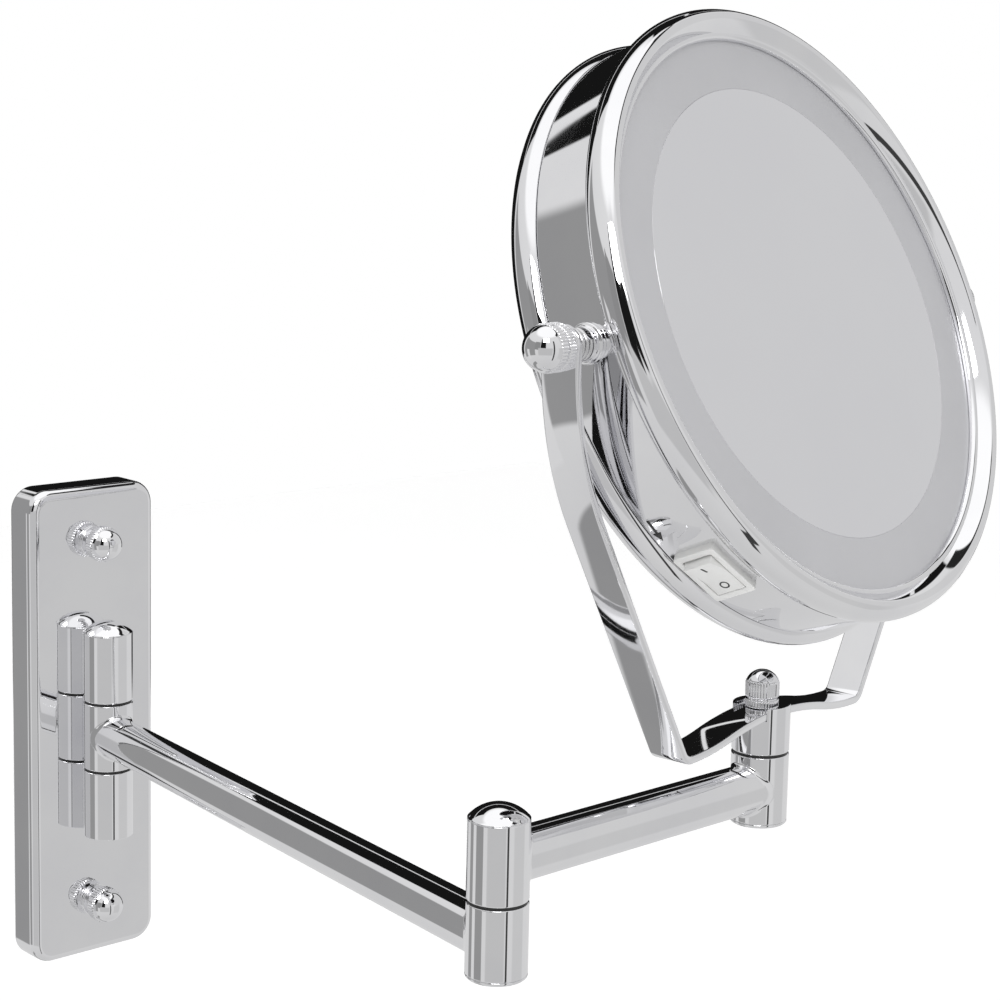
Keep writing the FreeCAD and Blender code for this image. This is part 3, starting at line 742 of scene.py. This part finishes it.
# ------------------------------------------------------------------ rear ring and glass
# The twist-off back: a rolled chromed ring with a magnifying glass set in it, dished a
# little, turned off to change the batteries.
rear_section = [(99.5, -12.65)]
rear_section += arc_points((99.5, -12.65), (102.0, -17.6), (100.3, -21.6), 18)
rear_section += arc_points((100.3, -21.6), (98.6, -23.0), (96.4, -22.4), 14)
rear_section += arc_points((96.4, -22.4), (94.1, -20.5), (93.1, -19.5), 8)
rear_section += arc_points((93.1, -19.5), (92.0, -19.2), (91.4, -18.4), 8)
rear_section += [(91.4, -17.45), (92.8, -17.45), (92.8, -14.4), (96.4, -14.4), (96.4, -9.8),
                 (97.7, -9.8), (97.7, -12.65)]
piece("back_ring", placed(turned("back_ring", rear_section, 288, 0.3, True), head_place),
      chrome, "rear", "chrome", "rear_ring")
dish, edge_z = 1.6, -17.4
dish_radius = (glass_radius ** 2 + dish ** 2) / (2 * dish)


def dished(radius, lift):
    return (radius, edge_z + dish - dish_radius + math.sqrt(dish_radius ** 2 - radius ** 2) + lift)


dish_steps = [glass_radius * k / 24 for k in range(25)]
dish_section = [dished(r, 0.0) for r in dish_steps[:-1]] + [dished(glass_radius - 0.03, 0.0)]
dish_section += [dished(r - (0.03 if r == glass_radius else 0.0), 2.0) for r in dish_steps[::-1]]
piece("magnifying_glass", placed(turned("magnifying_glass", dish_section, 192, 0.1), head_place),
      silver, "rear", "mirror_glass", "rear_mirror")

# ------------------------------------------------------------------ side pivots
# Each side of the drum has a flanged bush, a stiff three-turn spring that holds the head
# where it is put, a knurled ring nut against the strap's eye and a domed thumb knob.


def spring_wire():
    material, tree, shader, place = surface("spring_wire", Metallic=1.0)
    drawn = tree.noise(place, 900.0, 3.0, 0.6)
    tree.feed(shader["Base Color"], tree.blend(drawn, grey(0.62), grey(0.8, 1.02)))
    tree.feed(shader["Roughness"], drawn * 0.12 + 0.12)
    return material


spring_start, wire = 103.7, 0.75
spring_end = eye_reach - strap_thick / 2 - 0.15
coil, asked = nodes_group("spring_coil", {"Turns": "Float", "Radius": "Float", "Height": "Float",
                                          "Wire": "Float", "Material": "Material"})
path = coil.node("GeometryNodeCurveSpiral", {"Resolution": 40, "Rotations": asked["Turns"],
                                             "Start Radius": asked["Radius"], "End Radius": asked["Radius"],
                                             "Height": asked["Height"]})
gauge = coil.node("GeometryNodeCurvePrimitiveCircle", {"Resolution": 16, "Radius": asked["Wire"]})
ends_in(coil, coil.node("GeometryNodeCurveToMesh", {"Curve": path, "Profile Curve": gauge, "Fill Caps": True}),
        asked["Material"])
spring_steel = spring_wire()
spring_length = (spring_end - spring_start - 2 * wire) * mm
spring = grown("spring", coil, Turns=3.0, Radius=4.4 * mm, Height=spring_length, Wire=wire * mm,
               Material=spring_steel)
spring = placed(spring, Matrix.Translation((0, 0, (spring_start + wire) * mm)))
to_left = Matrix.Rotation(math.radians(-90), 4, "Y")
both_ways = (to_right, to_left)
on_head = [head_place @ m for m in both_ways]
at_eyes = [yoke_place @ Matrix.Translation((0, 0, pivot_rise * mm)) @ m for m in both_ways]
piece("pivot_spring_pair", together("pivot_spring_pair", [(spring, m) for m in on_head]), spring_steel,
      "head", "steel", "pivot_springs")
bush = turned("bush", [(0, 99.35), (6.2, 99.35), (6.2, 101.2), (5.2, 101.6), (5.2, 103.6), (0, 103.6)],
              96, 0.35)
piece("pivot_bush_pair", together("pivot_bush_pair", [(bush, m) for m in on_head]), chrome_turned,
      "head", "chrome", "pivot_bushes")
strap_face = eye_reach + strap_thick / 2
ring_nut = together("ring_nut", [(mesh, Matrix()) for mesh in (
    turned("ring_seat", [(0, strap_face), (6.9, strap_face), (6.9, strap_face + 0.7), (0, strap_face + 0.7)]),
    knurled_band(7.2, strap_face + 0.5, strap_face + 3.6, 48, 0.3))])
piece("ring_nut_pair", together("ring_nut_pair", [(ring_nut, m) for m in at_eyes]), chrome_turned,
      "yoke", "chrome", "ring_nuts")
knob_foot = strap_face + 3.9
knob = together("knob", [(mesh, Matrix()) for mesh in (
    turned("knob_seat", [(0, knob_foot), (6.0, knob_foot), (6.0, knob_foot + 0.4), (0, knob_foot + 0.4)],
           corner=0.1),
    knurled_band(7.2, knob_foot + 0.1, knob_foot + 3.4, 42),
    turned("knob_dome", [(0, knob_foot + 3.2), (6.85, knob_foot + 3.2)]
           + cap_points(6.8, knob_foot + 3.6, 5.2, 18), corner=0.12))])
piece("thumb_knob_left", placed(knob.copy(), head_place @ to_left), chrome_turned,
      "knob_left", "chrome", "side_knob_left")
piece("thumb_knob_right", placed(knob, head_place @ to_right), chrome_turned,
      "knob_right", "chrome", "side_knob_right")

# ------------------------------------------------------------------ switch
# A white moulded rocker in a white frame, pressed into the drum's opening. One half of the
# rocker has a bar and the other a ring, printed in dark grey.
frame_length, frame_width, frame_top = 22.0, 15.0, 101.3
rocker_length, rocker_width, rocker_pivot = 16.4, 10.2, 99.4


def moulded(name, light, dark):
    """Moulded plastic with a fine spark-eroded texture."""
    material, tree, shader, place = surface(name, Coat_Weight=0.15, Coat_Roughness=0.2)
    grain = tree.noise(place, 1800.0, 3.0, 0.6)
    cloud = tree.noise(place, 120.0, 2.0, 0.5)
    tree.feed(shader["Base Color"], tree.blend(cloud, light, dark))
    tree.feed(shader["Roughness"], grain * 0.15 + 0.3)
    tree.feed(shader["Normal"], tree.bump(grain, 0.000015, 0.5))
    return material


white_plastic = moulded("white_plastic", (0.80, 0.80, 0.79, 1), (0.74, 0.74, 0.73, 1))
dark_print = moulded("dark_print", grey(0.02), grey(0.035))


def softened(mesh, width, steps=3, angle=35.0):
    """The mesh with its edges rounded."""
    holder = bpy.data.objects.new("softened", mesh)
    bpy.context.scene.collection.objects.link(holder)
    bevel = holder.modifiers.new("soft", "BEVEL")
    bevel.width, bevel.segments, bevel.angle_limit = width * mm, steps, math.radians(angle)
    result = plain_mesh(holder)
    bpy.data.objects.remove(holder)
    result.shade_smooth()
    result.set_sharp_from_angle(angle=math.radians(50))
    return result


def rocker_well():
    return slab("rocker_well", rocker_length + 1.0, rocker_width + 0.5, 0.5, 90, 110)


frame_foot = 98.4
collar = slab("collar", frame_length, frame_width, 1.2, frame_foot, frame_top, 6)
collar = softened(carved(collar, rocker_well()), 0.35)
skirt = carved(slab("skirt", 18.96, 11.96, 0.7, 96.6, frame_foot + 0.2), rocker_well())
bezel = together("bezel", [(collar, Matrix()), (skirt, Matrix())])
piece("switch_bezel", placed(bezel, head_place @ about_switch()), white_plastic,
      "head", "white_plastic", "switch_frame")

reach, ends, valley = rocker_length / 2, 3.1, 2.1


def rocker_height(x):
    """How high the dished top stands over the pivot, in millimetres."""
    share = abs(x) / reach
    return valley + (ends - valley) * share ** 2 * (1.6 - 0.6 * share)


rocker_top = [(reach * k / 10, rocker_height(reach * k / 10)) for k in range(10, -11, -1)]
rocker_side = rocker_top + [(-reach, -0.4), (-3.2, -2.4), (3.2, -2.4), (reach, -0.4)]
rocker_rings = [[Vector((x, y, z)) * mm for x, y in rocker_side]
                for z in (-rocker_width / 2, rocker_width / 2)]
on_rocker = (head_place @ about_switch() @ Matrix.Translation((0, rocker_pivot * mm, 0))
             @ Matrix.Rotation(math.radians(8.0), 4, "Z"))
rocker = softened(lofted("rocker_key", rocker_rings), 0.3, 3, 40.0)
piece("rocker_key", placed(rocker, on_rocker), white_plastic, "rocker", "white_plastic", "rocker")


def print_on_rocker(name, outline, hole=None):
    """A thin printed mark that lies on the rocker's top. The outline is (x, z) in
    millimetres."""
    count = len(outline)
    if hole is None:
        hole = [(sum(x for x, _ in outline) / count, sum(z for _, z in outline) / count)] * count
    rings = []
    for loop, lift in ((outline, -0.05), (outline, 0.04), (hole, 0.04), (hole, -0.05)):
        rings.append([Vector((x, rocker_height(x) + lift, z)) * mm for x, z in loop])
    return lofted(name, rings, around=True)


def oval(x, radius_x, radius_z, steps=40):
    return [(x + radius_x * math.cos(2 * math.pi * k / steps), radius_z * math.sin(2 * math.pi * k / steps))
            for k in range(steps)]


bar = [(4.9 + x, z) for x, z in rounded_corners(3.0, 0.7, 0.3, 4)]
marks = [(print_on_rocker("bar", bar), on_rocker),
         (print_on_rocker("ring", oval(-4.7, 1.55, 1.55), oval(-4.7, 1.05, 1.05)), on_rocker)]
piece("rocker_marks", together("rocker_marks", marks), dark_print, "rocker", "black_plastic")

# ------------------------------------------------------------------ opening mark
# A plain arrow printed on the drum, close to the seam, that shows which way the back
# twists off.


def printed_arrow(name, clock, low, high, radius):
    """A bar with a pointed head that follows the drum's wall."""
    middle, half_height = (low + high) / 2, (high - low) / 2
    bar_widths = [(1.5 * k, 0.3) for k in range(4)] + [(5.0, 0.3)]
    head_widths = [(5.01, 1.0), (6.2, 0.62), (7.4, 0.26), (8.2, 0.02)]
    rings = []
    for along_wall, share in bar_widths + head_widths:
        a = clock + along_wall / radius
        ring = []
        for side, lift in ((-1, 0.0), (1, 0.0), (1, 0.05), (-1, 0.05)):
            r = radius + lift
            ring.append(Vector((-r * math.sin(a), r * math.cos(a), middle + side * share * half_height)) * mm)
        rings.append(ring)
    return lofted(name, rings)


arrow = printed_arrow("drum_arrow", math.radians(122.0), -11.3, -8.3, drum_radius)
piece("drum_arrow", placed(arrow, head_place), dark_print, "head", "black_plastic")

# ------------------------------------------------------------------ hidden hardware
# What is inside the plate, the barrels and the head stays as it is made: zinc-plated
# bracket and screws, steel pins, bronze-coloured bushes, white and black mouldings, a
# lamp board and four cells.


def zinc_plate():
    material, tree, shader, place = surface("zinc_plate", Metallic=1.0)
    spangle = tree.node("ShaderNodeTexVoronoi", {"Vector": place, "Scale": 260.0}, out="Color")
    tone = tree.split(spangle)[0]
    scratch = tree.noise(tree.stretched(place, (1.0, 1.0, 14.0)), 320.0, 4.0, 0.7)
    tree.feed(shader["Base Color"],
              tree.blend(tone * 0.6 + scratch * 0.4, (0.50, 0.51, 0.53, 1), (0.68, 0.69, 0.71, 1)))
    tree.feed(shader["Roughness"], tone * 0.12 + scratch.ramp(0.4, 0.8) * 0.15 + 0.24)
    return material


def bare_metal(name, light, dark):
    material, tree, shader, place = surface(name, Metallic=1.0)
    turning = tree.noise(tree.stretched(place, (1.0, 1.0, 30.0)), 200.0, 4.0, 0.6)
    tree.feed(shader["Base Color"], tree.blend(turning, light, dark))
    tree.feed(shader["Roughness"], turning * 0.2 + 0.18)
    return material


def lamp_board():
    material, tree, shader, place = surface("lamp_board")
    weave = tree.node("ShaderNodeTexChecker", {"Vector": place, "Scale": 900.0}, out="Fac")
    cloud = tree.noise(place, 200.0, 3.0, 0.5)
    tree.feed(shader["Base Color"],
              tree.blend(weave * 0.3 + cloud * 0.7, (0.78, 0.79, 0.76, 1), (0.66, 0.68, 0.65, 1)))
    tree.feed(shader["Roughness"], cloud * 0.2 + 0.35)
    return material


def lamp_phosphor():
    material, tree, shader, place = surface("lamp_phosphor")
    grain = tree.noise(place, 3000.0, 2.0, 0.6)
    tree.feed(shader["Base Color"], tree.blend(grain, (0.86, 0.78, 0.36, 1), (0.93, 0.87, 0.55, 1)))
    tree.feed(shader["Roughness"], grain * 0.2 + 0.3)
    return material


def cell_jacket():
    """A plain two-tone sleeve on each cell."""
    material, tree, shader, place = surface("cell_jacket", Metallic=0.6)
    band = tree.noise(place, 45.0, 1.0, 0.3).ramp(0.47, 0.53)
    scuff = tree.noise(place, 700.0, 3.0, 0.6)
    tree.feed(shader["Base Color"], tree.blend(band, (0.05, 0.05, 0.055, 1), (0.55, 0.40, 0.18, 1)))
    tree.feed(shader["Roughness"], scuff * 0.2 + 0.25)
    return material


steel_pin = bare_metal("steel_pin", grey(0.45, 1.02), grey(0.62, 1.02))
bronze = bare_metal("bronze_bush", (0.50, 0.33, 0.16, 1), (0.62, 0.44, 0.24, 1))
spring_strip = bare_metal("contact_strip", (0.72, 0.70, 0.62, 1), (0.82, 0.80, 0.74, 1))
zinc = zinc_plate()
black_plastic = moulded("black_plastic", grey(0.02), grey(0.03))
for coat, nodes in (
        (zinc, ("wall_bracket", "stud_spacers", "barrel_screws")),
        (steel_pin, ("bracket_studs", "hinge_pin", "elbow_pin", "swivel_stud", "rocker_pin")),
        (chrome_turned, ("pivot_studs",)),
        (bronze, ("wall_bush", "elbow_bush")),
        (white_plastic, ("front_carrier",)),
        (black_plastic, ("battery_tray", "battery_holder", "switch_body")),
        (lamp_board(), ("led_board",)),
        (lamp_phosphor(), ("led_chips",)),
        (cell_jacket(), ("batteries",)),
        (spring_strip, ("battery_contacts",))):
    for node in nodes:
        frame["nodes"][node].data.materials.clear()
        frame["nodes"][node].data.materials.append(coat)

# ------------------------------------------------------------------ floor, light, camera
# A pale studio floor well below the mirror, a bright room with a few dark flags that give
# polished metal its lines, and the camera.


def floor_paint():
    material, tree, shader, place = surface("floor_paint", Specular_IOR_Level=0.2, Emission_Strength=0.36,
                                            Emission_Color=(1.0, 1.0, 1.0, 1.0))
    cloud = tree.noise(place, 1.5, 3.0, 0.5)
    tree.feed(shader["Base Color"], tree.blend(cloud, grey(0.93), grey(0.95)))
    tree.feed(shader["Roughness"], cloud * 0.1 + 0.7)
    return material


floor_z, floor_reach = -0.62, 3.2
floor_corners = [(floor_reach * sx, floor_reach * sy, floor_z)
                 for sx, sy in ((-1, -1), (1, -1), (1, 1), (-1, 1))]
floor = bpy.data.objects.new("floor", new_mesh("floor", floor_corners, [(0, 1, 2, 3)]))
floor.data.materials.append(floor_paint())
bpy.context.scene.collection.objects.link(floor)
floor.visible_glossy = False

world = bpy.data.worlds.new("studio")
bpy.context.scene.world = world
world.use_nodes = True
room = Tree(world.node_tree)
world.node_tree.nodes.clear()
x, y, z = room.split(room.node("ShaderNodeTexCoord", out="Generated"))
round_about = y.maths("ARCTAN2", y, x) * (180 / math.pi)
rise = z.maths("ARCSINE", z) * (180 / math.pi)


def band(value, low, high, soft):
    """1 between two angles, fading over soft degrees."""
    return value.ramp(low - soft, low) * (1.0 - value.ramp(high, high + soft))


# Cards round the room: from and to in degrees about the room, from and to in height, how
# soft the edge is, and how bright.
cards = ((-180, 180, 60, 90, 10.0, 1.1),
         (-56, 4, 2, 44, 8.0, 0.66),
         (-70, -30, -34, 0, 8.0, 0.60),
         (108, 170, -24, 25, 2.5, 0.31),
         (126, 139, -34, -5, 2.0, 0.72),
         (170, 180, -2, 30, 0.2, 0.28),
         (-180, -164, -2, 30, 1.5, 0.28),
         (18, 97, -14, 50, 1.5, 0.008),
         (18, 97, 29.5, 31.0, 0.5, 0.8),
         (-100, -94, -50, 36, 1.0, 0.05),
         (-161, -137, 6, 48, 1.0, 0.01),
         (-60, 16, 50, 58, 1.5, 0.02),
         (60, 150, -58, -50, 2.0, 0.30),
         (-170, -108, -24, 2, 6.0, 0.55))
level = 0.72 + rise * 0.0012
for start, end, low, high, soft, bright in cards:
    level = level + band(round_about, start, end, soft) * band(rise, low, high, soft) * (bright - level)
seen = room.node("ShaderNodeLightPath", out="Is Camera Ray")
strength = level * (1.0 - seen) + seen * 1.0
sky = room.node("ShaderNodeBackground", {"Color": (1.0, 1.0, 1.0, 1.0), "Strength": strength})
room.feed(world.node_tree.nodes.new("ShaderNodeOutputWorld").inputs["Surface"], sky)


def softbox(name, place, target, width, height, power):
    light = bpy.data.lights.new(name, "AREA")
    light.shape, light.size, light.size_y, light.energy = "RECTANGLE", width, height, power
    lamp = bpy.data.objects.new(name, light)
    lamp.location = place
    lamp.rotation_euler = (Vector(target) - Vector(place)).to_track_quat("-Z", "Y").to_euler()
    bpy.context.scene.collection.objects.link(lamp)


softbox("key", (-1.6, -1.8, 2.2), (0.05, -0.2, 0.1), 1.4, 1.0, 26.0)
bpy.context.scene.view_settings.view_transform = "Standard"

camera = bpy.data.objects.new("camera", bpy.data.cameras.new("camera"))
camera.data.lens = 82.49
camera.data.shift_y = -0.08
forward = Vector((0.66069602, 0.73738365, -0.14052091))
lift = Vector((0.07833866, 0.11844415, 0.98986567))
camera.matrix_world = Matrix((forward.cross(lift), lift, -forward)).transposed().to_4x4()
camera.location = (-0.4636, -0.7653, 0.2458)
camera.data.clip_end = 60.0
bpy.context.scene.collection.objects.link(camera)
bpy.context.scene.camera = camera
